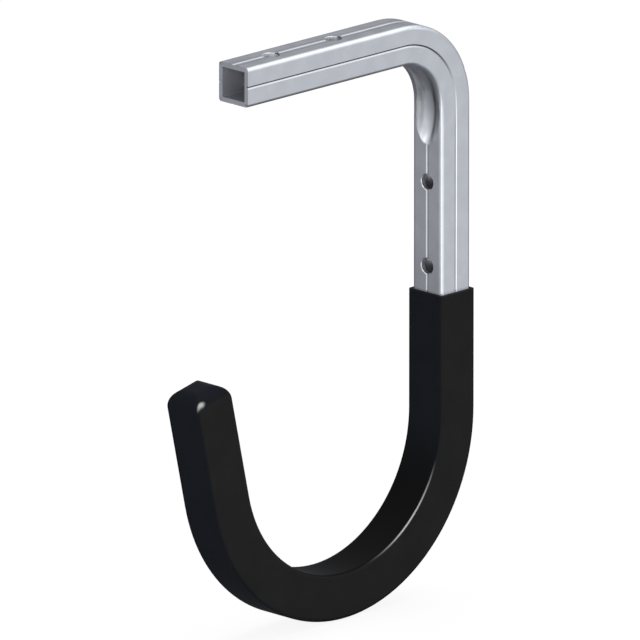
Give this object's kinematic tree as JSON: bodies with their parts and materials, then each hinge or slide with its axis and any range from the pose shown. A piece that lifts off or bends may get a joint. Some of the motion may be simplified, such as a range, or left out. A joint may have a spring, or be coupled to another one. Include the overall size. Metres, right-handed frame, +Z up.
{
  "type": "rubber-coated wall hook",
  "caption": "Bent square steel tube hook with a rubber-covered round cradle, screwed to a wall or along its arm, for hanging long or coiled things.",
  "frame": {"origin": "on the leg's back face, in the wall plane, midway between the leg's two screw holes", "axes": "+Z up along the leg, +Y into the wall, so the arm and the hook reach out along -Y, and +X to the hook's side"},
  "size_m": [0.0176, 0.1426, 0.2186],
  "materials": {
    "zinc_steel": "bright zinc plate, satin",
    "black_rubber": "smooth satin"
  },
  "bodies": {
    "root": {"bent_tube": "zinc_steel", "rubber_sleeve": "black_rubber"}
  },
  "joints": []
}
